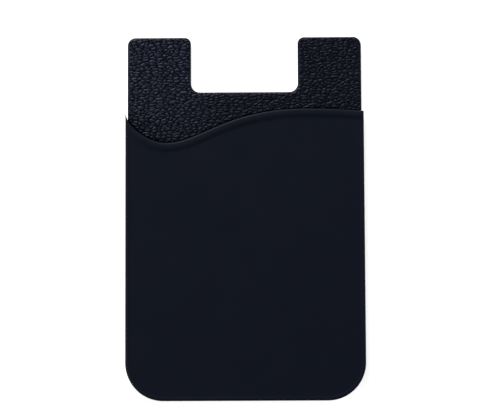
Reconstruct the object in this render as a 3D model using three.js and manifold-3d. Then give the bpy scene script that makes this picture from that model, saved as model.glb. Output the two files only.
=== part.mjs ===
// Stick-on card holder for the back of a phone: a one-piece moulded silicone sleeve with two ears,
// an adhesive sheet on its back, and the release liner that covers the sheet until it is used.
// It lies on its back with the pocket facing up. Lengths are in millimetres, +Z points out of the
// pocket's front, +Y points to the ears, and the origin is under the middle of the sleeve.

import * as THREE from "three";
import { mergeVertices } from "three/addons/utils/BufferGeometryUtils.js";
import Module from "manifold-3d";

const wasm = await Module();
wasm.setup();

// The card that the pocket takes
const cardWidth = 54;
const cardThickness = 0.76;
const cardSideClearance = 0.2;
const cardFaceClearance = 0.24;

// Walls of the sleeve
const sideWall = 1.1;
const bottomWall = 1.2;
const backPlateThickness = 1.2;
const rimThickness = 1.0;
const plateEdgeRounding = 0.4;
const pocketEdgeRounding = 0.6;

// Outline of the sleeve, seen from the front
const sleeveLength = 86.4;
const shoulderStep = 0.4;
const bottomCornerRadius = 9;
const notchWidth = 25.5;
const notchDepth = 13.2;
const notchCornerRadius = 2.1;
const earOuterRadius = 1.9;
const earInnerRadius = 1.5;

// The mouth's S curve: a dip on the left, a crest on the right, and where it meets the two sides
const crestBelowNotch = 4.3;
const dipBelowCrest = 8.05;
const rightEndBelowCrest = 0.6;
const leftTipAboveDip = 6.95;
const dipFromLeftSide = 9.6;
const crestFromRightSide = 14.1;
const leftTipPullIn = 0.7;
const leftTipPullDown = 3.7;
const dipPullLeft = 3.35;
const dipPullRight = 8;
const crestPullLeft = 18.6;
const crestPullRight = 8.6;
const rightEndPull = 4;
const lipRounding = 0.4;

// The rim along the mouth stands proud of the front panel, which is framed by a narrow border
const rimWidth = 1.6;
const borderWidth = 1.1;
const panelDepth = 0.25;
const panelEdgeSlope = 0.3;

// Adhesive sheet and release liner on the back
const adhesiveMargin = 3.2;
const adhesiveThickness = 0.25;
const linerThickness = 0.12;
const pullTabWidth = 9;
const pullTabShortOfNotch = 0.8;

// Fineness of the curves
const cornerSegments = 10;
const curveSegments = 24;
const roundingSegments = 3;

// How far a cutting outline runs past the solid that it trims
const overrun = 2;

// What follows from those sizes
const cardGap = cardThickness + cardFaceClearance;
const cavityWidth = cardWidth + 2 * cardSideClearance;
const pocketWidth = cavityWidth + 2 * sideWall;
const plateWidth = pocketWidth - 2 * shoulderStep;
const sleeveThickness = backPlateThickness + cardGap + rimThickness;
const sleeveBase = linerThickness + adhesiveThickness;
const earTip = sleeveLength / 2;
const foot = -sleeveLength / 2;
const notchFloor = earTip - notchDepth;

// Adds a round corner to an outline that runs counter-clockwise. An inward corner turns the other way.
function addCorner(outline, x, y, radius, startAngle, inward = false) {
  const endAngle = startAngle + (inward ? -Math.PI / 2 : Math.PI / 2);
  outline.absarc(x, y, radius, startAngle, endAngle, inward);
}

// Starts an outline with a foot that has two round corners, drawn in from the pocket's by an inset.
function outlineFromFoot(width, inset) {
  const radius = bottomCornerRadius - inset;
  const centreX = width / 2 - radius;
  const centreY = foot + inset + radius;
  const outline = new THREE.Shape();
  addCorner(outline, -centreX, centreY, radius, Math.PI);
  addCorner(outline, centreX, centreY, radius, -Math.PI / 2);
  return outline;
}

// The back plate, with its two ears and the notch between them
function backPlateOutline() {
  const outline = outlineFromFoot(plateWidth, 0);
  const notchSide = notchWidth / 2;
  const earSide = plateWidth / 2 - earOuterRadius;
  const earInside = notchSide + earInnerRadius;
  const notchCorner = notchSide - notchCornerRadius;
  addCorner(outline, earSide, earTip - earOuterRadius, earOuterRadius, 0);
  addCorner(outline, earInside, earTip - earInnerRadius, earInnerRadius, Math.PI / 2);
  addCorner(outline, notchCorner, notchFloor + notchCornerRadius, notchCornerRadius, 0, true);
  addCorner(outline, -notchCorner, notchFloor + notchCornerRadius, notchCornerRadius, -Math.PI / 2, true);
  addCorner(outline, -earInside, earTip - earInnerRadius, earInnerRadius, 0);
  addCorner(outline, -earSide, earTip - earOuterRadius, earOuterRadius, Math.PI / 2);
  outline.closePath();
  return outline;
}

// Runs an outline that starts at the foot up both sides, and closes it level with the ear tips.
function closeAtEarTips(outline, width) {
  outline.lineTo(width / 2, earTip);
  outline.lineTo(-width / 2, earTip);
  outline.closePath();
  return outline;
}

// All that lies below the mouth's S curve, lowered by a drop. It runs past both sides of the sleeve.
function belowMouthOutline(drop) {
  const side = pocketWidth / 2;
  const crestX = side - crestFromRightSide;
  const crestY = notchFloor - crestBelowNotch - drop;
  const dipX = dipFromLeftSide - side;
  const dipY = crestY - dipBelowCrest;
  const rightY = crestY - rightEndBelowCrest;
  const rightPullUp = (rightEndPull * rightEndBelowCrest) / crestFromRightSide;
  const leftY = dipY + leftTipAboveDip;
  const leftRise = (overrun * leftTipPullDown) / leftTipPullIn;
  const outline = new THREE.Shape();
  outline.moveTo(-side - overrun, foot - overrun);
  outline.lineTo(side + overrun, foot - overrun);
  outline.lineTo(side + overrun, rightY);
  outline.lineTo(side, rightY);
  outline.bezierCurveTo(side - rightEndPull, rightY + rightPullUp, crestX + crestPullRight, crestY, crestX, crestY);
  outline.bezierCurveTo(crestX - crestPullLeft, crestY, dipX + dipPullRight, dipY, dipX, dipY);
  outline.bezierCurveTo(dipX - dipPullLeft, dipY, leftTipPullIn - side, leftY - leftTipPullDown, -side, leftY);
  outline.lineTo(-side - overrun, leftY + leftRise);
  outline.closePath();
  return outline;
}

// The adhesive sheet, and the liner with its pull tab, which stays hidden behind the back plate
function adhesiveOutline(withPullTab) {
  const width = pocketWidth - 2 * adhesiveMargin;
  const top = notchFloor - adhesiveMargin;
  const radius = bottomCornerRadius - adhesiveMargin;
  const outline = outlineFromFoot(width, adhesiveMargin);
  addCorner(outline, width / 2 - radius, top - radius, radius, 0);
  if (withPullTab) {
    const tabTip = notchFloor - pullTabShortOfNotch;
    const tabRadius = (tabTip - top) / 2;
    const tabCorner = pullTabWidth / 2 - tabRadius;
    outline.lineTo(pullTabWidth / 2, top);
    addCorner(outline, tabCorner, tabTip - tabRadius, tabRadius, 0);
    addCorner(outline, -tabCorner, tabTip - tabRadius, tabRadius, Math.PI / 2);
    outline.lineTo(-pullTabWidth / 2, top);
  }
  addCorner(outline, radius - width / 2, top - radius, radius, Math.PI / 2);
  outline.closePath();
  return outline;
}

// Turns a closed outline into a list of points with no repeats, so that each side face has a width.
function pointsOf(outline) {
  const fine = [];
  const shortest = 1e-3;
  for (const curve of outline.curves) {
    const count = curve.isCubicBezierCurve ? curveSegments : curve.isEllipseCurve ? cornerSegments : 1;
    for (const point of curve.getPoints(count)) {
      const last = fine[fine.length - 1];
      if (!last || last.distanceTo(point) > shortest) fine.push(point);
    }
  }
  if (fine[0].distanceTo(fine[fine.length - 1]) < shortest) fine.pop();
  return fine;
}

// A slab with the outline's full size half way up, and both edges rounded or sloped off.
function slab(outline, bottom, top, rounding, segments = roundingSegments) {
  const geometry = new THREE.ExtrudeGeometry(new THREE.Shape(pointsOf(outline)), {
    depth: top - bottom - 2 * rounding,
    bevelEnabled: rounding > 0,
    bevelThickness: rounding,
    bevelSize: rounding,
    bevelOffset: -rounding,
    bevelSegments: segments,
  });
  geometry.translate(0, 0, bottom + rounding);
  return geometry;
}

// Closed geometry to solid, and back
function solidOf(geometry) {
  geometry.deleteAttribute("normal");
  geometry.deleteAttribute("uv");
  const merged = mergeVertices(geometry);
  const vertProperties = merged.attributes.position.array;
  const triVerts = new Uint32Array(merged.index.array);
  return new wasm.Manifold(new wasm.Mesh({ numProp: 3, vertProperties, triVerts }));
}

function geometryOf(solid) {
  const { vertProperties, triVerts } = solid.getMesh();
  const geometry = new THREE.BufferGeometry();
  geometry.setAttribute("position", new THREE.BufferAttribute(vertProperties, 3));
  geometry.setIndex(new THREE.BufferAttribute(triVerts, 1));
  geometry.computeVertexNormals();
  return geometry;
}

// The pocket's block: full width at the sides and foot, with its mouth cut to the S curve
function makePocketBlock() {
  const walls = slab(
    closeAtEarTips(outlineFromFoot(pocketWidth, 0), pocketWidth),
    0, sleeveThickness, pocketEdgeRounding,
  );
  const mouth = slab(belowMouthOutline(0), -overrun, sleeveThickness, lipRounding);
  return solidOf(walls).intersect(solidOf(mouth));
}

// The shallow sunken panel inside the rim and the border, as the solid that is cut away
function makePanelCut() {
  const width = pocketWidth - 2 * borderWidth;
  const floor = sleeveThickness - panelDepth;
  const above = sleeveThickness + overrun;
  const frame = slab(closeAtEarTips(outlineFromFoot(width, borderWidth), width), floor, above, panelEdgeSlope, 1);
  const mouth = slab(belowMouthOutline(rimWidth), floor, above, panelEdgeSlope, 1);
  return solidOf(frame).intersect(solidOf(mouth));
}

// The space for the card, which runs out past the mouth
function makeCardSpace() {
  const outline = closeAtEarTips(outlineFromFoot(cavityWidth, bottomWall), cavityWidth);
  return solidOf(slab(outline, backPlateThickness, backPlateThickness + cardGap, 0));
}

// The sleeve: the back plate and the pocket in one, less the card's space and the sunken front panel
function makeSleeve() {
  const plate = solidOf(slab(backPlateOutline(), 0, backPlateThickness, plateEdgeRounding));
  const moulding = plate.add(makePocketBlock());
  return geometryOf(moulding.subtract(makeCardSpace()).subtract(makePanelCut()));
}

const silicone = new THREE.MeshStandardMaterial({ color: 0x17191f, roughness: 0.6, metalness: 0 });
const adhesive = new THREE.MeshStandardMaterial({ color: 0xd9dcd8, roughness: 0.35, metalness: 0 });
const liner = new THREE.MeshStandardMaterial({ color: 0xf2efe6, roughness: 0.45, metalness: 0 });

// Adds one named piece to the holder at its height above the surface that the holder lies on.
function addPiece(name, geometry, material, height) {
  const piece = new THREE.Mesh(geometry, material);
  piece.name = name;
  piece.position.z = height;
  holder.add(piece);
}

const holder = new THREE.Group();
addPiece("sleeve", makeSleeve(), silicone, sleeveBase);
addPiece("adhesive_sheet", slab(adhesiveOutline(false), 0, adhesiveThickness, 0), adhesive, linerThickness);
addPiece("release_liner", slab(adhesiveOutline(true), 0, linerThickness, 0), liner, 0);

export default holder;
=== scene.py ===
"""Looks of the stick-on card holder: a moulded silicone sleeve that lies on its back, seen from above."""

import math

import bpy
import numpy as np
from mathutils import Matrix, Vector
from mathutils.geometry import delaunay_2d_cdt


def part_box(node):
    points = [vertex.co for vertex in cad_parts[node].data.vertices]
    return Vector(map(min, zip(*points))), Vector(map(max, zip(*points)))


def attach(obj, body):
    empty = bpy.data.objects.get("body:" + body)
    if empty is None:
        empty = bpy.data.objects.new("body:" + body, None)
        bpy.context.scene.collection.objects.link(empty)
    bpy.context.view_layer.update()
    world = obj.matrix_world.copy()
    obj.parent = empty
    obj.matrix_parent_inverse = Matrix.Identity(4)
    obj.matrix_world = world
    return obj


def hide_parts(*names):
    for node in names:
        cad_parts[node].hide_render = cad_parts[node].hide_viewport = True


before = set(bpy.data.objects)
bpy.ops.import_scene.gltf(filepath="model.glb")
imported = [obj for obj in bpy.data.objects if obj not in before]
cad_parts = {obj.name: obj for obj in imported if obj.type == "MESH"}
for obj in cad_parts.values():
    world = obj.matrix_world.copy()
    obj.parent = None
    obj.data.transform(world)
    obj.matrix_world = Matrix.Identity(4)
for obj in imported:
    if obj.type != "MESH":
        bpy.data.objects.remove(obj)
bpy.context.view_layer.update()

# Shapes are worked out in millimetres, and meshes are stored in metres
MM = 0.001


def millimetres(corner):
    """A corner of the frame as three plain numbers in millimetres."""
    return [value / MM for value in corner]


# The sleeve's reach comes from the solid model
sleeve_low, sleeve_high = (millimetres(corner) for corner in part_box("sleeve"))
SIDE = sleeve_high[0]
EAR_TIP = sleeve_high[1]
FOOT = sleeve_low[1]
BASE = sleeve_low[2]
SLEEVE_THICKNESS = sleeve_high[2] - sleeve_low[2]

# Walls of the sleeve
PLATE_THICKNESS = 1.2
CARD_GAP = 1.0
SIDE_WALL = 1.1
BOTTOM_WALL = 1.2
BOTTOM_CORNER_RADIUS = 9.0

# Back plate with its two ears
SHOULDER_STEP = 0.4
PLATE_EDGE_ROUNDING = 0.65
PLATE_BACK_ROUNDING = 0.4
PLATE_BURIED_BY = 0.6
NOTCH_WIDTH = 25.5
NOTCH_DEPTH = 13.2
NOTCH_CORNER_RADIUS = 2.1
EAR_OUTER_RADIUS = 1.9
EAR_INNER_RADIUS = 1.5
NOTCH_FLOOR = EAR_TIP - NOTCH_DEPTH

# The pocket's mouth, an S curve with a dip on the left and a crest on the right. A pull is how far the
# curve's handle reaches from its point.
CREST_FROM_RIGHT_SIDE = 14.1
CREST_BELOW_NOTCH = 4.3
DIP_FROM_LEFT_SIDE = 9.6
DIP_BELOW_CREST = 8.05
RIGHT_END_BELOW_CREST = 0.6
LEFT_TIP_ABOVE_DIP = 6.95
RIGHT_END_PULL = (4.0, 0.17)
CREST_PULL_RIGHT = 8.6
CREST_PULL_LEFT = 18.6
DIP_PULL_RIGHT = 8.0
DIP_PULL_LEFT = 3.35
LEFT_TIP_PULL = (0.7, 3.7)
CREST = (SIDE - CREST_FROM_RIGHT_SIDE, NOTCH_FLOOR - CREST_BELOW_NOTCH)
DIP = (DIP_FROM_LEFT_SIDE - SIDE, CREST[1] - DIP_BELOW_CREST)
RIGHT_END = (SIDE, CREST[1] - RIGHT_END_BELOW_CREST)
LEFT_TIP = (-SIDE, DIP[1] + LEFT_TIP_ABOVE_DIP)

# The rim is a bead along the mouth. It stands proud of the panel, and so, a little, does the border. The
# slope down to the panel starts at the crest and ends at the foot, both measured in from the edge. The
# crown is the rim's fall from its crest to the lip.
LIP_ROUNDING = 0.4
LIP_LOWER_ROUNDING = 0.25
RIM_CREST = 1.15
RIM_FOOT = 2.4
RIM_HEIGHT = 0.23
RIM_CROWN = 0.06
BORDER_ROUNDING = 0.6
BORDER_BACK_ROUNDING = 0.6
BORDER_CREST = 0.55
BORDER_FOOT = 1.15
BORDER_HEIGHT = 0.07

# Leather grain on the back plate: long domed pebbles with creases between them, wider folds that they
# ride on, and small lumps. The shares say how much of the depth is due to each. A narrow smooth channel
# is sunk along the lip, and the plate inside the pocket is smooth too.
PEBBLE_LENGTH = 1.4
PEBBLE_WIDTH = 0.7
GRAIN_DEPTH = 0.34
GRAIN_WAVER = 1.3
GRAIN_SEED = 3.0
PEBBLE_SHARE = 0.46
FOLD_SHARE = 0.15
LUMP_SHARE = 0.39
LIP_CHANNEL = (0.2, 0.6)
GRAIN_EDGE = (0.02, 0.25)

# How often a bend, a fold or a lump comes along a pebble, and how far from a crease a dome is at its full
# height, in pebbles too. The seed shifts the whole pattern.
BENDS_PER_PEBBLE = 0.7
FOLDS_PER_PEBBLE = 0.45
LUMPS_PER_PEBBLE = 1.3
PEBBLE_DOME_EDGE = 0.42
FOLD_DOME_EDGE = 0.25
BEND_DETAIL = 2.0
LUMP_DETAIL = 5.0
SEED_SHIFT = (17.0, 29.0, 0.0)

# Where the rim and border are worn and given a painted sheen, and where a painted highlight runs along the
# notch floor: how far from an edge each is still full, and where it ends. The notch's painted highlight lies
# in a narrow band along its floor.
RIM_WEAR_AND_SHEEN = (0.2, 1.0)
BORDER_WEAR_AND_SHEEN = (0.2, 0.9)
NOTCH_HIGHLIGHT = (0.3, 0.9)
NOTCH_HIGHLIGHT_BAND = 2.0

# How far an outline that trims or cuts runs past what it trims
OVERRUN = 2.0

# Fineness of the meshes. The plate is finely meshed from a little below the dip upwards, where it shows,
# and an edge that turns by more than the last angle stays crisp.
CORNER_STEPS = 24
GRAIN_STEP = 0.135
EDGE_STEP = 0.35
GRAINED_EDGE_STEP = 0.17
PANEL_STEP = 2.0
FINE_FROM_BELOW_DIP = 1.0
ROUNDING_STOPS = (0.04, 0.15, 0.32, 0.55, 0.8, 1.0)
RIM_STOPS = (0.6, 0.8, 1.0, 1.15, 1.3, 1.45, 1.6, 1.75, 1.9, 2.05, 2.2, 2.4, 2.8)
BORDER_STOPS = (0.7, 0.8, 0.9, 1.0, 1.15, 1.6)
SHARP_FROM = math.radians(50)


# Outlines and distances in the plane


def arc(centre_x, centre_y, radius, start, turn):
    """Points of a round corner, with the start and the turn in quarter circles."""
    angles = (start + turn * np.linspace(0, 1, CORNER_STEPS + 1)) * math.pi / 2
    return np.stack([centre_x + radius * np.cos(angles), centre_y + radius * np.sin(angles)], axis=1)


def foot_points(half_width, inset):
    """The two round corners at the foot, from left to right, drawn in by an inset."""
    radius = BOTTOM_CORNER_RADIUS - inset
    centre_x = half_width - radius
    centre_y = FOOT + inset + radius
    return np.concatenate([arc(-centre_x, centre_y, radius, 2, 1), arc(centre_x, centre_y, radius, -1, 1)])


def curve_points(start, pull_a, pull_b, end):
    """Points along one cubic curve, about an edge step apart."""
    start, pull_a, pull_b, end = (np.array(point) for point in (start, pull_a, pull_b, end))
    count = math.ceil(np.linalg.norm(end - start) / EDGE_STEP)
    t = np.linspace(0, 1, count + 1)[:, None]
    return (1 - t) ** 3 * start + 3 * (1 - t) ** 2 * t * pull_a + 3 * (1 - t) * t ** 2 * pull_b + t ** 3 * end


def mouth_points():
    """The pocket's mouth from its right end to its left tip."""
    right = curve_points(
        RIGHT_END,
        (RIGHT_END[0] - RIGHT_END_PULL[0], RIGHT_END[1] + RIGHT_END_PULL[1]),
        (CREST[0] + CREST_PULL_RIGHT, CREST[1]),
        CREST,
    )
    middle = curve_points(
        CREST,
        (CREST[0] - CREST_PULL_LEFT, CREST[1]),
        (DIP[0] + DIP_PULL_RIGHT, DIP[1]),
        DIP,
    )
    left = curve_points(
        DIP,
        (DIP[0] - DIP_PULL_LEFT, DIP[1]),
        (LEFT_TIP[0] + LEFT_TIP_PULL[0], LEFT_TIP[1] - LEFT_TIP_PULL[1]),
        LEFT_TIP,
    )
    return np.concatenate([right, middle[1:], left[1:]])


MOUTH = mouth_points()
BELOW_MOUTH = np.concatenate([
    MOUTH,
    [[-SIDE - OVERRUN, LEFT_TIP[1]], [-SIDE - OVERRUN, FOOT - OVERRUN], [SIDE + OVERRUN, FOOT - OVERRUN]],
])


def moved_in(line, distance):
    """An open line moved to its left by a distance, which is into the pocket for the mouth."""
    direction = np.gradient(line, axis=0)
    direction /= np.linalg.norm(direction, axis=1)[:, None]
    return line + distance * np.stack([-direction[:, 1], direction[:, 0]], axis=1)


def closed(loop):
    """A closed loop as an open line that ends where it starts."""
    return np.concatenate([loop, loop[:1]])


def divided(line, step=EDGE_STEP, above=-math.inf):
    """An open line with the sides that reach above a height cut into steps."""
    points = []
    for start, end in zip(line[:-1], line[1:]):
        fine = max(start[1], end[1]) > above
        count = max(1, math.ceil(np.linalg.norm(end - start) / step)) if fine else 1
        points.extend(start + (end - start) * k / count for k in range(count))
    points.append(line[-1])
    return np.array(points)


def distance_to(points, line):
    """The distance from each point to an open line of short straight pieces."""
    start = line[:-1]
    along = line[1:] - start
    shortest = 1e-12
    squared = np.maximum((along ** 2).sum(axis=1), shortest)
    nearest = np.empty(len(points))
    batch = 2000
    for first in range(0, len(points), batch):
        offset = points[first:first + batch, None, :] - start[None]
        part = np.clip((offset * along).sum(axis=2) / squared, 0, 1)
        gap = np.linalg.norm(offset - part[..., None] * along, axis=2)
        nearest[first:first + batch] = gap.min(axis=1)
    return nearest


def inside(points, loop):
    """Which of the points lie inside a closed loop."""
    found = np.zeros(len(points), dtype=bool)
    for (x0, y0), (x1, y1) in zip(loop, np.roll(loop, -1, axis=0)):
        if y0 == y1:
            continue
        crosses = (y0 > points[:, 1]) != (y1 > points[:, 1])
        found ^= crosses & (points[:, 0] < x0 + (points[:, 1] - y0) * (x1 - x0) / (y1 - y0))
    return found


def runs_inside(line, outline):
    """The stretches of an open line whose points lie inside an outline."""
    runs = [[]]
    for point, kept in zip(line, inside(line, outline)):
        if kept:
            runs[-1].append(point)
        elif runs[-1]:
            runs.append([])
    return [np.array(run) for run in runs if len(run) > 1]


def border_distance(points):
    """How far each point lies inside the sides and the foot of the pocket."""
    across = np.abs(points[:, 0])
    corner_x = across - (SIDE - BOTTOM_CORNER_RADIUS)
    corner_y = FOOT + BOTTOM_CORNER_RADIUS - points[:, 1]
    in_corner = (corner_x > 0) & (corner_y > 0)
    straight = np.minimum(SIDE - across, points[:, 1] - FOOT)
    return np.where(in_corner, BOTTOM_CORNER_RADIUS - np.hypot(corner_x, corner_y), straight)


def depth_behind_mouth(points):
    """How far each point lies behind the mouth's edge, or 0 where the mouth leaves it open."""
    return np.where(inside(points, BELOW_MOUTH), distance_to(points, MOUTH), 0)


def lip_channel(points):
    """How much of the smooth channel along the lip there is: 1 at the mouth's edge, fading both ways."""
    return 1 - smooth_step(distance_to(points, MOUTH), *LIP_CHANNEL)


def edge_drop(distance, radius):
    """How far a rounded edge falls below the face at a distance from the outline."""
    left = radius - np.clip(distance, 0, radius)
    return radius - np.sqrt(radius ** 2 - left ** 2)


def smooth_step(value, low, high):
    """Rises smoothly from 0 at low to 1 at high."""
    t = np.clip((value - low) / (high - low), 0, 1)
    return t * t * (3 - 2 * t)


def grid_points(low, high, step):
    """Points of a triangular grid over a rectangle."""
    rows = np.arange(low[1], high[1], step * math.sqrt(3) / 2)
    columns = np.arange(low[0], high[0], step)
    x, y = np.meshgrid(columns, rows)
    x = x + step / 2 * (np.arange(len(rows)) % 2)[:, None]
    return np.stack([x.ravel(), y.ravel()], axis=1)


# Meshes


# For a sheet that has no points but those of its lines
NO_POINTS = np.zeros((0, 2))


def triangulated(outline, lines, points):
    """Triangles that fill a closed outline, with lines and points that must appear among them."""
    corners = [outline]
    edges = [(k, (k + 1) % len(outline)) for k in range(len(outline))]
    used = len(outline)
    for line in lines:
        edges.extend((used + k, used + k + 1) for k in range(len(line) - 1))
        corners.append(line)
        used += len(line)
    corners.append(points)
    flat = [Vector(corner) for corner in np.concatenate(corners)]
    merge_within = 1e-4
    all_triangles = 0
    found, _, faces, *_ = delaunay_2d_cdt(flat, edges, [], all_triangles, merge_within, False)
    found = np.array([tuple(corner) for corner in found])
    faces = np.array(faces)
    return found, faces[inside(found[faces].mean(axis=1), outline)]


def boundary_edges(faces):
    """The directed edges that only one triangle has."""
    edges = np.concatenate([faces[:, [0, 1]], faces[:, [1, 2]], faces[:, [2, 0]]])
    known = {tuple(edge) for edge in edges.tolist()}
    return [edge for edge in known if edge[::-1] not in known]


def piece_from(name, vertices, faces, material):
    """A new object from vertices in millimetres."""
    mesh = bpy.data.meshes.new(name)
    mesh.from_pydata((vertices * MM).tolist(), [], faces)
    mesh.materials.append(material)
    piece = bpy.data.objects.new(name, mesh)
    bpy.context.scene.collection.objects.link(piece)
    return piece


def solid_between(name, front, back, front_height, back_height, material):
    """A closed solid between two triangulated sheets with the same outline, each with its own height rule."""
    front_points, front_faces = front
    back_points, back_faces = back
    top = np.column_stack([front_points, front_height(front_points)])
    bottom = np.column_stack([back_points, back_height(back_points)])
    digits_matched = 4
    place = {tuple(key): len(top) + k for k, key in enumerate(np.round(back_points, digits_matched).tolist())}
    key_of = np.round(front_points, digits_matched).tolist()
    border = boundary_edges(front_faces)
    below = {k: place[tuple(key_of[k])] for edge in border for k in edge}
    faces = front_faces.tolist()
    faces += (back_faces[:, ::-1] + len(top)).tolist()
    faces += [(b, a, below[a], below[b]) for a, b in border]
    return piece_from(name, np.concatenate([top, bottom]), faces, material)


def work_in_modifiers(piece):
    """Replaces the piece's mesh with the result of its modifiers, and takes the modifiers off."""
    graph = bpy.context.evaluated_depsgraph_get()
    mesh = bpy.data.meshes.new_from_object(piece.evaluated_get(graph), depsgraph=graph)
    piece.modifiers.clear()
    piece.data = mesh


def store(piece, name, values):
    """Stores a value for each vertex of a piece."""
    piece.data.attributes.new(name, "FLOAT", "POINT").data.foreach_set("value", values)


def combine(body, tool, operation):
    """Joins a closed tool to a body, or cuts it away, and removes the tool."""
    change = body.modifiers.new(operation.lower(), "BOOLEAN")
    change.operation = operation
    change.solver = "MANIFOLD"
    change.material_mode = "TRANSFER"
    change.object = tool
    work_in_modifiers(body)
    bpy.data.objects.remove(tool)


# Node helpers


def joined(links, value, socket):
    """Sets a socket to a plain value, or links it to an output."""
    if isinstance(value, bpy.types.NodeSocket):
        links.new(value, socket)
    else:
        socket.default_value = value


def calculated(tree, kind, operation, *values):
    """The first output of a Math or Vector Math node with its inputs filled in."""
    node = tree.nodes.new(kind)
    node.operation = operation
    for value, socket in zip(values, node.inputs):
        joined(tree.links, value, socket)
    return node.outputs[0]


def ranged(tree, value, from_low, from_high, to_low, to_high, interpolation="LINEAR"):
    """A value carried from one range to another."""
    node = tree.nodes.new("ShaderNodeMapRange")
    node.interpolation_type = interpolation
    names = ("Value", "From Min", "From Max", "To Min", "To Max")
    for name, limit in zip(names, (value, from_low, from_high, to_low, to_high)):
        joined(tree.links, limit, node.inputs[name])
    return node.outputs["Result"]


def noise(tree, place, scale, detail, seed=0.0, output="Fac"):
    """A noise from 0 to 1, with its scale in cells to one unit of the place."""
    node = tree.nodes.new("ShaderNodeTexNoise")
    node.noise_dimensions = "4D"
    for name, value in (("Vector", place), ("Scale", scale), ("Detail", detail), ("W", seed)):
        joined(tree.links, value, node.inputs[name])
    return node.outputs[output]


def mixed(tree, share, low, high):
    """A colour between two, by a share."""
    node = tree.nodes.new("ShaderNodeMix")
    node.data_type = "RGBA"
    joined(tree.links, share, node.inputs["Factor"])
    for value, socket in ((low, node.inputs["A"]), (high, node.inputs["B"])):
        joined(tree.links, value, socket)
    return node.outputs["Result"]


def opaque(colour):
    """A colour as the sockets take it."""
    return (*colour, 1)


def new_group(name, kind, inputs, outputs):
    """A node group with named sockets: its tree, what it is given and what it results in."""
    tree = bpy.data.node_groups.new(name, kind)
    for in_out, sockets in (("INPUT", inputs), ("OUTPUT", outputs)):
        for label, socket_type in sockets.items():
            tree.interface.new_socket(label, in_out=in_out, socket_type=socket_type)
    return tree, tree.nodes.new("NodeGroupInput").outputs, tree.nodes.new("NodeGroupOutput").inputs


def placed(tree, group, values):
    """The outputs of a shader group that is placed in a tree, with its inputs filled in."""
    node = tree.nodes.new("ShaderNodeGroup")
    node.node_tree = group
    for name, value in values.items():
        joined(tree.links, value, node.inputs[name])
    return node.outputs


def attribute(tree, name):
    """A value that the mesh carries at its vertices."""
    node = tree.nodes.new("ShaderNodeAttribute")
    node.attribute_name = name
    return node.outputs["Fac"]


def new_material(name):
    """An empty node material: its tree, its Principled shader and its Object coordinates."""
    material = bpy.data.materials.new(name)
    material.use_nodes = True
    tree = material.node_tree
    tree.nodes.clear()
    output = tree.nodes.new("ShaderNodeOutputMaterial")
    shader = tree.nodes.new("ShaderNodeBsdfPrincipled")
    tree.links.new(shader.outputs["BSDF"], output.inputs["Surface"])
    place = tree.nodes.new("ShaderNodeTexCoord")
    return material, tree, shader, place.outputs["Object"]


def finish_surface(tree, shader, colour, roughness, tooth, tooth_depth):
    """Gives a shader its colour, its roughness, and a bump with its depth in millimetres."""
    bump = tree.nodes.new("ShaderNodeBump")
    bump.inputs["Distance"].default_value = tooth_depth * MM
    tree.links.new(tooth, bump.inputs["Height"])
    for value, name in ((colour, "Base Color"), (roughness, "Roughness"), (bump.outputs["Normal"], "Normal")):
        tree.links.new(value, shader.inputs[name])


# Materials


# The moulded skin's clouding, its smears and its fine tooth, each with its own detail and seed
CLOUD_DETAIL = 4.0
SMEAR_DETAIL = 3.0
SMEAR_SEED = 7.0
SMEARS_PER_CLOUD = 3.0
SMEAR_SPREAD = (0.3, 0.7)
TOOTH_DETAIL = 3.0
TOOTH_SEED = 2.0


def make_moulded_skin():
    """The skin that all surfaces share: slow clouding, faint smears and a fine tooth from the mould."""
    tree, given, result = new_group(
        "moulded_skin",
        "ShaderNodeTree",
        {
            "Place": "NodeSocketVector",
            "Deep Colour": "NodeSocketColor",
            "Light Colour": "NodeSocketColor",
            "Cloud Scale": "NodeSocketFloat",
            "Tooth Scale": "NodeSocketFloat",
            "Smooth Roughness": "NodeSocketFloat",
            "Dull Roughness": "NodeSocketFloat",
        },
        {"Colour": "NodeSocketColor", "Roughness": "NodeSocketFloat", "Tooth": "NodeSocketFloat"},
    )
    place = given["Place"]
    cloud_scale = given["Cloud Scale"]
    cloud = noise(tree, place, cloud_scale, CLOUD_DETAIL)
    colour = mixed(tree, cloud, given["Deep Colour"], given["Light Colour"])
    smear_scale = calculated(tree, "ShaderNodeMath", "MULTIPLY", cloud_scale, SMEARS_PER_CLOUD)
    smear = noise(tree, place, smear_scale, SMEAR_DETAIL, SMEAR_SEED)
    limits = (given["Smooth Roughness"], given["Dull Roughness"])
    roughness = ranged(tree, smear, *SMEAR_SPREAD, *limits)
    tooth = noise(tree, place, given["Tooth Scale"], TOOTH_DETAIL, TOOTH_SEED)
    tree.links.new(colour, result["Colour"])
    tree.links.new(roughness, result["Roughness"])
    tree.links.new(tooth, result["Tooth"])
    return tree


def make_silicone_wear_and_light():
    """The paling that both silicones share, for wear and for painted light: paler, and shinier by a polish,
    where the pale share is 1.
    """
    tree, given, result = new_group(
        "silicone_wear_and_light",
        "ShaderNodeTree",
        {
            "Pale Share": "NodeSocketFloat",
            "Colour": "NodeSocketColor",
            "Pale Colour": "NodeSocketColor",
            "Roughness": "NodeSocketFloat",
            "Polish": "NodeSocketFloat",
        },
        {"Colour": "NodeSocketColor", "Roughness": "NodeSocketFloat"},
    )
    share = given["Pale Share"]
    colour = mixed(tree, share, given["Colour"], given["Pale Colour"])
    polish = calculated(tree, "ShaderNodeMath", "MULTIPLY", share, given["Polish"])
    roughness = calculated(tree, "ShaderNodeMath", "SUBTRACT", given["Roughness"], polish)
    tree.links.new(colour, result["Colour"])
    tree.links.new(roughness, result["Roughness"])
    return tree


MOULDED_SKIN = make_moulded_skin()
SILICONE_WEAR_AND_LIGHT = make_silicone_wear_and_light()


def placed_skin(tree, place, deep, light, cloud_scale, tooth_scale, smooth, dull):
    """The moulded skin between a deep and a light colour, and between a smooth and a dull roughness.

    Scales are in cells to the metre.
    """
    return placed(tree, MOULDED_SKIN, {
        "Place": place,
        "Deep Colour": opaque(deep),
        "Light Colour": opaque(light),
        "Cloud Scale": cloud_scale,
        "Tooth Scale": tooth_scale,
        "Smooth Roughness": smooth,
        "Dull Roughness": dull,
    })


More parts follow.
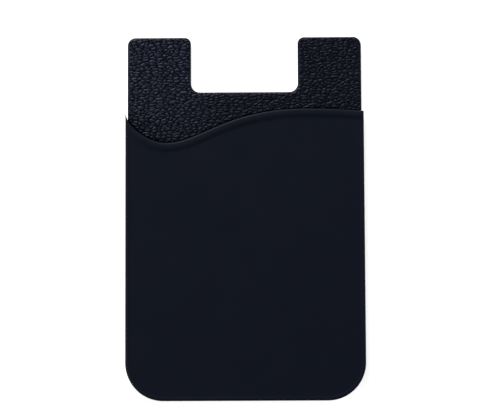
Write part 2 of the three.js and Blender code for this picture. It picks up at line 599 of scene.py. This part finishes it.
def paled(tree, share, surface, worn_colour, polish):
    """A surface's colour and roughness once paled, by wear or by painted light."""
    return placed(tree, SILICONE_WEAR_AND_LIGHT, {
        "Pale Share": share,
        "Colour": surface["Colour"],
        "Pale Colour": opaque(worn_colour),
        "Roughness": surface["Roughness"],
        "Polish": polish,
    })


# Blue-black silicone, whose reflections are a little blue too
SILICONE_DEEP = (0.0045, 0.0061, 0.0120)
SILICONE_LIGHT = (0.0055, 0.0072, 0.0137)
# Pale wear with a painted sheen, for the rim and border
SILICONE_RUBBED_AND_SHEEN = (0.0085, 0.0100, 0.0165)
# A pool of painted light on the left ear
SILICONE_PAINTED_LIGHT = (0.0175, 0.0178, 0.0360)
# A painted highlight along the notch floor
SILICONE_NOTCH_HIGHLIGHT = (0.0210, 0.0235, 0.0330)
# Painted shade in the grain's creases
SILICONE_PAINTED_SHADE = (0.0001, 0.0004, 0.0032)
SILICONE_GLEAM = (0.68, 0.75, 1.0)
SMOOTH_SPECULAR = 0.12
GRAINED_SPECULAR = 0.18

# Where the painted shade in a crease starts and where it is darkest, as shares of the grain's depth
CREASE_SHADE = (0.22, 0.52)

# A pool of light is painted on the left ear, paler round a spot, where the silicone is also a little shinier.
# In metres: the spot, and how far from it the painted light is still full and where it ends.
PAINTED_LIGHT_SPOT = (-0.0215, 0.038, 0.0016)
PAINTED_LIGHT_REACH = (0.009, 0.024)


def smooth_silicone():
    """The pocket's silicone: matte, and a little paler and shinier at its rim and border, as wear with a
    painted sheen.
    """
    material, tree, shader, place = new_material("smooth_silicone")
    skin = placed_skin(
        tree, place, SILICONE_DEEP, SILICONE_LIGHT, cloud_scale=60, tooth_scale=5000, smooth=0.50, dull=0.56
    )
    # Paler at the rim and border, as wear with a painted sheen
    worn_and_lit = paled(tree, attribute(tree, "wear_and_highlight"), skin, SILICONE_RUBBED_AND_SHEEN, polish=0.05)
    finish_surface(tree, shader, worn_and_lit["Colour"], worn_and_lit["Roughness"], skin["Tooth"], tooth_depth=0.004)
    shader.inputs["Specular IOR Level"].default_value = SMOOTH_SPECULAR
    shader.inputs["Specular Tint"].default_value = opaque(SILICONE_GLEAM)
    return material


def painted_light_share(tree, place):
    """How much painted light falls on the left ear: 1 round the spot, fading to 0."""
    reach = tree.nodes.new("ShaderNodeVectorMath")
    reach.operation = "DISTANCE"
    tree.links.new(place, reach.inputs[0])
    reach.inputs[1].default_value = PAINTED_LIGHT_SPOT
    return ranged(tree, reach.outputs["Value"], *PAINTED_LIGHT_REACH, 1.0, 0.0, "SMOOTHSTEP")


def grained_silicone():
    """The back plate's silicone: satin on the pebbles, with painted shade in the creases, a pool of painted
    light on the left ear and a painted highlight along the notch floor.
    """
    material, tree, shader, place = new_material("grained_silicone")
    skin = placed_skin(
        tree, place, SILICONE_DEEP, SILICONE_LIGHT, cloud_scale=90, tooth_scale=6500, smooth=0.43, dull=0.48
    )
    # A pool of painted light on the left ear, which is also a little shinier there
    lit_ear = paled(tree, painted_light_share(tree, place), skin, SILICONE_PAINTED_LIGHT, polish=0.05)
    # A painted highlight along the notch floor's edge
    worn_and_lit = paled(tree, attribute(tree, "wear_and_highlight"), lit_ear, SILICONE_NOTCH_HIGHLIGHT, polish=0.0)
    # Painted shade: the creases are darkened by colour, by how deep they are pressed
    painted_crease_shade = ranged(tree, attribute(tree, "painted_crease_shade"), *CREASE_SHADE, 0.0, 1.0)
    colour = mixed(tree, painted_crease_shade, worn_and_lit["Colour"], opaque(SILICONE_PAINTED_SHADE))
    finish_surface(tree, shader, colour, worn_and_lit["Roughness"], skin["Tooth"], tooth_depth=0.012)
    shader.inputs["Specular IOR Level"].default_value = GRAINED_SPECULAR
    shader.inputs["Specular Tint"].default_value = opaque(SILICONE_GLEAM)
    return material


SMOOTH_SILICONE = smooth_silicone()
GRAINED_SILICONE = grained_silicone()


# Back plate


def plate_outline(inset):
    """The back plate with its ears and notch, drawn in by an inset. Its foot is buried in the pocket."""
    half = SIDE - SHOULDER_STEP - inset
    notch = NOTCH_WIDTH / 2 + inset
    tip = EAR_TIP - inset
    floor = NOTCH_FLOOR - inset
    outer = EAR_OUTER_RADIUS - inset
    inner = EAR_INNER_RADIUS - inset
    hollow = NOTCH_CORNER_RADIUS + inset
    return np.concatenate([
        foot_points(half, PLATE_BURIED_BY + inset),
        arc(half - outer, tip - outer, outer, 0, 1),
        arc(notch + inner, tip - inner, inner, 1, 1),
        arc(notch - hollow, floor + hollow, hollow, 0, -1),
        arc(hollow - notch, floor + hollow, hollow, -1, -1),
        arc(-notch - inner, tip - inner, inner, 0, 1),
        arc(outer - half, tip - outer, outer, 1, 1),
    ])


def leather_grain_tree():
    """Geometry nodes that press leather grain into a face: long pebbles with creases between."""
    tree, given, result = new_group(
        "leather_grain",
        "GeometryNodeTree",
        {
            "Geometry": "NodeSocketGeometry",
            "Pebble Length": "NodeSocketFloat",
            "Pebble Width": "NodeSocketFloat",
            "Depth": "NodeSocketFloat",
            "Waver": "NodeSocketFloat",
            "Pebble Share": "NodeSocketFloat",
            "Fold Share": "NodeSocketFloat",
            "Lump Share": "NodeSocketFloat",
            "Seed": "NodeSocketFloat",
            "Material": "NodeSocketMaterial",
        },
        {"Geometry": "NodeSocketGeometry"},
    )
    nodes, links = tree.nodes, tree.links

    def number(operation, *values):
        return calculated(tree, "ShaderNodeMath", operation, *values)

    def vector(operation, *values):
        return calculated(tree, "ShaderNodeVectorMath", operation, *values)

    def combined(*values):
        node = nodes.new("ShaderNodeCombineXYZ")
        for value, socket in zip(values, node.inputs):
            joined(links, value, socket)
        return node.outputs[0]

    def stored(name):
        value = nodes.new("GeometryNodeInputNamedAttribute")
        value.data_type = "FLOAT"
        value.inputs["Name"].default_value = name
        return value.outputs["Attribute"]

    # The place counted in pebbles, then bent so that the rows waver, and shifted by the seed
    position = nodes.new("GeometryNodeInputPosition").outputs["Position"]
    in_pebbles = vector("DIVIDE", position, combined(given["Pebble Length"], given["Pebble Width"], 1.0))
    bend = noise(tree, in_pebbles, BENDS_PER_PEBBLE, BEND_DETAIL, given["Seed"], "Color")
    unbent = (0.5, 0.5, 0.5)
    push = vector("MULTIPLY", vector("SUBTRACT", bend, unbent), given["Waver"])
    warped = vector("ADD", vector("ADD", in_pebbles, push), vector("MULTIPLY", given["Seed"], SEED_SHIFT))

    def domes(share, scale, dome_edge):
        cells = nodes.new("ShaderNodeTexVoronoi")
        cells.voronoi_dimensions = "2D"
        cells.feature = "DISTANCE_TO_EDGE"
        cells.inputs["Scale"].default_value = scale
        links.new(warped, cells.inputs["Vector"])
        rise = ranged(tree, cells.outputs["Distance"], 0.0, dome_edge, 0.0, 1.0)
        dome = number("MULTIPLY", rise, number("SUBTRACT", 2.0, rise))
        return number("MULTIPLY", dome, share)

    pebbles = domes(given["Pebble Share"], 1.0, PEBBLE_DOME_EDGE)
    folds = domes(given["Fold Share"], FOLDS_PER_PEBBLE, FOLD_DOME_EDGE)
    lump = noise(tree, warped, LUMPS_PER_PEBBLE, LUMP_DETAIL, given["Seed"])
    lumps = number("MULTIPLY", lump, given["Lump Share"])
    height = number("ADD", pebbles, number("ADD", folds, lumps))

    # What is not raised is sunk, by the mask's share, and the channel along the lip is sunk in full
    grain = number("MULTIPLY", number("SUBTRACT", 1.0, height), stored("grain_mask"))
    sunk = number("MAXIMUM", grain, stored("lip_channel"))
    press = nodes.new("GeometryNodeSetPosition")
    links.new(given["Geometry"], press.inputs["Geometry"])
    down = number("MULTIPLY", given["Depth"], -1.0)
    links.new(combined(0.0, 0.0, number("MULTIPLY", sunk, down)), press.inputs["Offset"])
    whole = nodes.new("GeometryNodeRealizeInstances")
    links.new(press.outputs["Geometry"], whole.inputs["Geometry"])
    finish = nodes.new("GeometryNodeSetMaterial")
    links.new(whole.outputs["Geometry"], finish.inputs["Geometry"])
    links.new(given["Material"], finish.inputs["Material"])
    links.new(finish.outputs["Geometry"], result["Geometry"])
    return tree


def press_grain(piece):
    """Presses the leather grain and the channel along the lip into a piece, by its own attributes."""
    tree = leather_grain_tree()
    change = piece.modifiers.new("leather_grain", "NODES")
    change.node_group = tree
    values = {
        "Pebble Length": PEBBLE_LENGTH * MM,
        "Pebble Width": PEBBLE_WIDTH * MM,
        "Depth": GRAIN_DEPTH * MM,
        "Waver": GRAIN_WAVER,
        "Pebble Share": PEBBLE_SHARE,
        "Fold Share": FOLD_SHARE,
        "Lump Share": LUMP_SHARE,
        "Seed": GRAIN_SEED,
        "Material": GRAINED_SILICONE,
    }
    for item in tree.interface.items_tree:
        if item.in_out == "INPUT" and item.name in values:
            change[item.identifier] = values[item.name]
    work_in_modifiers(piece)


def grain_mask(points, edge_line):
    """How much of the grain shows: none at the plate's very edge, nor inside the pocket."""
    in_from_edge = smooth_step(distance_to(points, edge_line), *GRAIN_EDGE)
    return np.where(inside(points, BELOW_MOUTH), 0, in_from_edge)


def make_back_plate():
    """The back plate, with leather grain pressed into the front of all that shows."""
    fine_above = DIP[1] - FINE_FROM_BELOW_DIP

    def edge(inset):
        return divided(closed(plate_outline(inset)), GRAINED_EDGE_STEP, fine_above)

    outline = edge(0)[:-1]
    rounding_lines = [edge(stop * PLATE_EDGE_ROUNDING) for stop in ROUNDING_STOPS]

    # The fine mesh ends a little behind the lip, where the channel has faded out
    grid = grid_points((-SIDE, fine_above), (SIDE, EAR_TIP), GRAIN_STEP)
    shows = depth_behind_mouth(grid) < 2 * LIP_CHANNEL[1]
    flat_edge = plate_outline(PLATE_EDGE_ROUNDING)
    grid = grid[shows & inside(grid, flat_edge)]
    grid = grid[distance_to(grid, closed(flat_edge)) > GRAIN_STEP / 2]

    front = triangulated(outline, rounding_lines, grid)
    back = triangulated(outline, rounding_lines, NO_POINTS)
    edge_line = closed(plate_outline(0))

    def front_height(points):
        return BASE + PLATE_THICKNESS - edge_drop(distance_to(points, edge_line), PLATE_EDGE_ROUNDING)

    def back_height(points):
        return BASE + edge_drop(distance_to(points, edge_line), PLATE_BACK_ROUNDING)

    plate = solid_between("back_plate", front, back, front_height, back_height, GRAINED_SILICONE)
    on_back = np.zeros(len(back[0]))
    store(plate, "grain_mask", np.concatenate([grain_mask(front[0], edge_line), on_back]))
    store(plate, "lip_channel", np.concatenate([lip_channel(front[0]), on_back]))
    press_grain(plate)
    return plate


# Pocket


def pocket_face(points):
    """The height of the pocket's front: rim along the mouth, low border, and the panel between them."""
    to_mouth = distance_to(points, MOUTH)
    to_border = border_distance(points)
    past_rim = smooth_step(to_mouth, RIM_CREST, RIM_FOOT)
    past_border = smooth_step(to_border, BORDER_CREST, BORDER_FOOT)
    sunk = past_rim * (RIM_HEIGHT - BORDER_HEIGHT * (1 - past_border))
    crown = RIM_CROWN * np.clip(1 - to_mouth / RIM_CREST, 0, 1) ** 2
    edge = np.maximum(edge_drop(to_mouth, LIP_ROUNDING), edge_drop(to_border, BORDER_ROUNDING))
    return BASE + SLEEVE_THICKNESS - sunk - crown - edge


def pocket_back(points):
    """The height of the pocket's back, which is flat and rounded off at the sides and the foot."""
    return BASE + edge_drop(border_distance(points), BORDER_BACK_ROUNDING)


def make_pocket():
    """The pocket's block, still solid: rounded sides and foot, with its mouth cut to the S curve."""
    outline = np.concatenate([foot_points(SIDE, 0), MOUTH])
    stops = [stop * LIP_ROUNDING for stop in ROUNDING_STOPS] + list(RIM_STOPS)
    lines = [moved_in(MOUTH, stop) for stop in stops]
    for inset in [stop * BORDER_ROUNDING for stop in ROUNDING_STOPS] + list(BORDER_STOPS):
        foot = foot_points(SIDE - inset, inset)
        lines.append(divided(np.concatenate([[[foot[0][0], EAR_TIP]], foot, [[foot[-1][0], EAR_TIP]]])))
    runs = [run for line in lines for run in runs_inside(line, outline)]
    grid = grid_points((-SIDE, FOOT), (SIDE, CREST[1]), PANEL_STEP)
    on_panel = (border_distance(grid) > BORDER_STOPS[-1]) & (depth_behind_mouth(grid) > RIM_STOPS[-1])
    sheet = triangulated(outline, runs, grid[on_panel])
    return solid_between("silicone_sleeve", sheet, sheet, pocket_face, pocket_back, SMOOTH_SILICONE)


def make_card_space():
    """The space for the card, flared a little where it leaves the mouth. It is open above the mouth.

    It reaches down into the back plate, which is joined in after it is cut.
    """
    half = SIDE - SIDE_WALL
    past_ears = EAR_TIP + OVERRUN
    outline = np.concatenate([foot_points(half, BOTTOM_WALL), [[half, past_ears], [-half, past_ears]]])
    flare = [moved_in(MOUTH, stop * LIP_LOWER_ROUNDING) for stop in (0.0, *ROUNDING_STOPS)]
    runs = [run for line in flare for run in runs_inside(line, outline)]
    sheet = triangulated(outline, runs, NO_POINTS)

    def ceiling(points):
        flare_height = edge_drop(depth_behind_mouth(points), LIP_LOWER_ROUNDING)
        return BASE + PLATE_THICKNESS + CARD_GAP + flare_height

    def floor(points):
        return np.full(len(points), BASE + PLATE_THICKNESS / 2)

    return solid_between("card_space", sheet, sheet, ceiling, floor, SMOOTH_SILICONE)


def store_wear_and_painted_light(sleeve):
    """Stores the rim's and border's wear with its painted sheen, the notch floor's painted highlight, and the
    crease depths for painted shade.
    """
    count = len(sleeve.data.vertices)
    flat = np.empty(count * 3)
    sleeve.data.vertices.foreach_get("co", flat)
    points = flat.reshape(-1, 3) / MM
    plane = points[:, :2]
    on_front = points[:, 2] > BASE + PLATE_THICKNESS + CARD_GAP
    # Wear with a painted sheen on the rim and border, and a painted highlight along the notch floor
    rim = 1 - smooth_step(distance_to(plane, MOUTH), *RIM_WEAR_AND_SHEEN)
    border = 1 - smooth_step(border_distance(plane), *BORDER_WEAR_AND_SHEEN)
    to_edge = distance_to(plane, closed(plate_outline(0)))
    # The painted highlight along the notch floor lies in a narrow band
    at_floor = np.abs(plane[:, 1] - NOTCH_FLOOR) < NOTCH_HIGHLIGHT_BAND
    at_notch = (np.abs(plane[:, 0]) < NOTCH_WIDTH / 2) & at_floor
    notch = np.where(at_notch, 1 - smooth_step(to_edge, *NOTCH_HIGHLIGHT), 0)
    wear_and_highlight = np.where(on_front, np.maximum(rim, border), notch)
    # How deep the grain is pressed, which the grained silicone turns into painted shade in its creases
    ungrained = BASE + PLATE_THICKNESS - edge_drop(to_edge, PLATE_EDGE_ROUNDING)
    pressed = np.clip((ungrained - points[:, 2]) / GRAIN_DEPTH, 0, 1)
    on_plate = (points[:, 2] > BASE + PLATE_THICKNESS / 2) & ~on_front
    store(sleeve, "wear_and_highlight", wear_and_highlight)
    store(sleeve, "painted_crease_shade", np.where(on_plate, pressed, 0))


def make_sleeve():
    """The whole one-piece sleeve."""
    sleeve = make_pocket()
    combine(sleeve, make_card_space(), "DIFFERENCE")
    combine(sleeve, make_back_plate(), "UNION")
    sleeve.data.name = sleeve.name
    sleeve.data.shade_smooth()
    sleeve.data.set_sharp_from_angle(angle=SHARP_FROM)
    store_wear_and_painted_light(sleeve)
    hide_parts("sleeve")
    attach(sleeve, "root")


# Adhesive and liner


def sheet_material(name, deep, light, smooth, dull, tooth_depth):
    """A thin sheet with faint clouding and a fine texture."""
    material, tree, shader, place = new_material(name)
    skin = placed_skin(tree, place, deep, light, cloud_scale=150, tooth_scale=2500, smooth=smooth, dull=dull)
    finish_surface(tree, shader, skin["Colour"], skin["Roughness"], skin["Tooth"], tooth_depth)
    return material


def give_material(node, material):
    """Gives a carried-over part its material."""
    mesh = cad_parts[node].data
    mesh.materials.clear()
    mesh.materials.append(material)


def finish_sheets():
    """The milky adhesive sheet, and the off-white release liner under it."""
    adhesive = sheet_material(
        "adhesive_gel",
        deep=(0.50, 0.51, 0.48),
        light=(0.68, 0.69, 0.66),
        smooth=0.22,
        dull=0.4,
        tooth_depth=0.01,
    )
    liner = sheet_material(
        "release_paper",
        deep=(0.70, 0.68, 0.62),
        light=(0.84, 0.82, 0.76),
        smooth=0.35,
        dull=0.5,
        tooth_depth=0.006,
    )
    give_material("adhesive_sheet", adhesive)
    give_material("release_liner", liner)


# Floor, light and camera


# Lengths from here on are in metres. The lift is the floor's own glow, which only the camera sees.
FLOOR_HALF = 3.0
FLOOR_COLOUR = (0.8, 0.8, 0.8)
FLOOR_ROUGHNESS = 0.9
FLOOR_LIFT = 0.8
SURROUND = 0.07
WHITE = (1.0, 1.0, 1.0)

# Soft square lamps in the air round the holder: the place, the side and the power in watts
LAMPS = {
    "key": ((-0.5, 1.27, 0.8), 0.7, 26.5),
    "left_fill": ((-0.7, -0.3, 0.5), 0.6, 2.8),
    "right_fill": ((0.75, 0.25, 0.5), 0.6, 1.9),
}

# The camera looks down on the holder, a little from the foot's side. Its focal length is in pixels of the
# photo, and its sensor in millimetres.
CAMERA_DISTANCE = 0.4
CAMERA_TILT = math.radians(4.605)
CAMERA_YAW = math.radians(0.475)
CAMERA_ROLL = math.radians(-0.256)
CAMERA_TARGET = Vector((0.000363, 0.003764, 0.0))
PHOTO_WIDTH = 493
FOCAL_PIXELS = 1679.7
SENSOR_WIDTH = 36.0
NEAREST_SEEN = 0.01


def make_floor():
    """A plain floor that the camera sees as white and that keeps the holder's shadow."""
    material, tree, shader, _ = new_material("floor")
    shader.inputs["Base Color"].default_value = opaque(FLOOR_COLOUR)
    shader.inputs["Roughness"].default_value = FLOOR_ROUGHNESS
    shader.inputs["Emission Color"].default_value = opaque(WHITE)
    rays = tree.nodes.new("ShaderNodeLightPath").outputs
    lift = calculated(tree, "ShaderNodeMath", "MULTIPLY", rays["Is Camera Ray"], FLOOR_LIFT)
    tree.links.new(lift, shader.inputs["Emission Strength"])
    half = FLOOR_HALF / MM
    corners = np.array([(-half, -half, 0), (half, -half, 0), (half, half, 0), (-half, half, 0)])
    piece_from("floor", corners, [(0, 1, 2, 3)], material)


def add_soft_box(name, place, size, power):
    """A square lamp that faces the holder."""
    lamp = bpy.data.lights.new(name, "AREA")
    lamp.shape = "SQUARE"
    lamp.size = size
    lamp.energy = power
    box = bpy.data.objects.new(name, lamp)
    box.location = place
    box.rotation_euler = (-Vector(place)).to_track_quat("-Z", "Y").to_euler()
    bpy.context.scene.collection.objects.link(box)


def light_scene():
    """A low soft key light from beyond the ears, a fill on each side, and a dim even surround.

    The camera sees the surround as white.
    """
    for name, (place, size, power) in LAMPS.items():
        add_soft_box(name, place, size, power)
    world = bpy.data.worlds.new("surround")
    world.use_nodes = True
    tree = world.node_tree
    tree.nodes.clear()
    output = tree.nodes.new("ShaderNodeOutputWorld")
    rays = tree.nodes.new("ShaderNodeLightPath")
    pick = tree.nodes.new("ShaderNodeMixShader")
    tree.links.new(rays.outputs["Is Camera Ray"], pick.inputs["Fac"])
    for slot, strength in ((1, SURROUND), (2, 1.0)):
        light = tree.nodes.new("ShaderNodeBackground")
        light.inputs["Color"].default_value = opaque(WHITE)
        light.inputs["Strength"].default_value = strength
        tree.links.new(light.outputs[0], pick.inputs[slot])
    tree.links.new(pick.outputs[0], output.inputs["Surface"])
    bpy.context.scene.world = world


def add_camera():
    """The photograph's view."""
    camera = bpy.data.cameras.new("camera")
    camera.sensor_width = SENSOR_WIDTH
    camera.lens = FOCAL_PIXELS / PHOTO_WIDTH * SENSOR_WIDTH
    camera.clip_start = NEAREST_SEEN
    back = Vector((
        math.sin(CAMERA_YAW) * math.cos(CAMERA_TILT),
        -math.sin(CAMERA_TILT),
        math.cos(CAMERA_YAW) * math.cos(CAMERA_TILT),
    ))
    right = Vector((0, 1, 0)).cross(back).normalized()
    up = back.cross(right)
    turned_right = math.cos(CAMERA_ROLL) * right + math.sin(CAMERA_ROLL) * up
    turned_up = math.cos(CAMERA_ROLL) * up - math.sin(CAMERA_ROLL) * right
    eye = CAMERA_TARGET + CAMERA_DISTANCE * back
    rows = [(turned_right[k], turned_up[k], back[k], eye[k]) for k in range(3)]
    view = bpy.data.objects.new("camera", camera)
    view.matrix_world = Matrix([*rows, (0, 0, 0, 1)])
    bpy.context.scene.collection.objects.link(view)
    bpy.context.scene.camera = view


make_sleeve()
finish_sheets()
make_floor()
light_scene()
add_camera()
bpy.context.scene.view_settings.view_transform = "Standard"
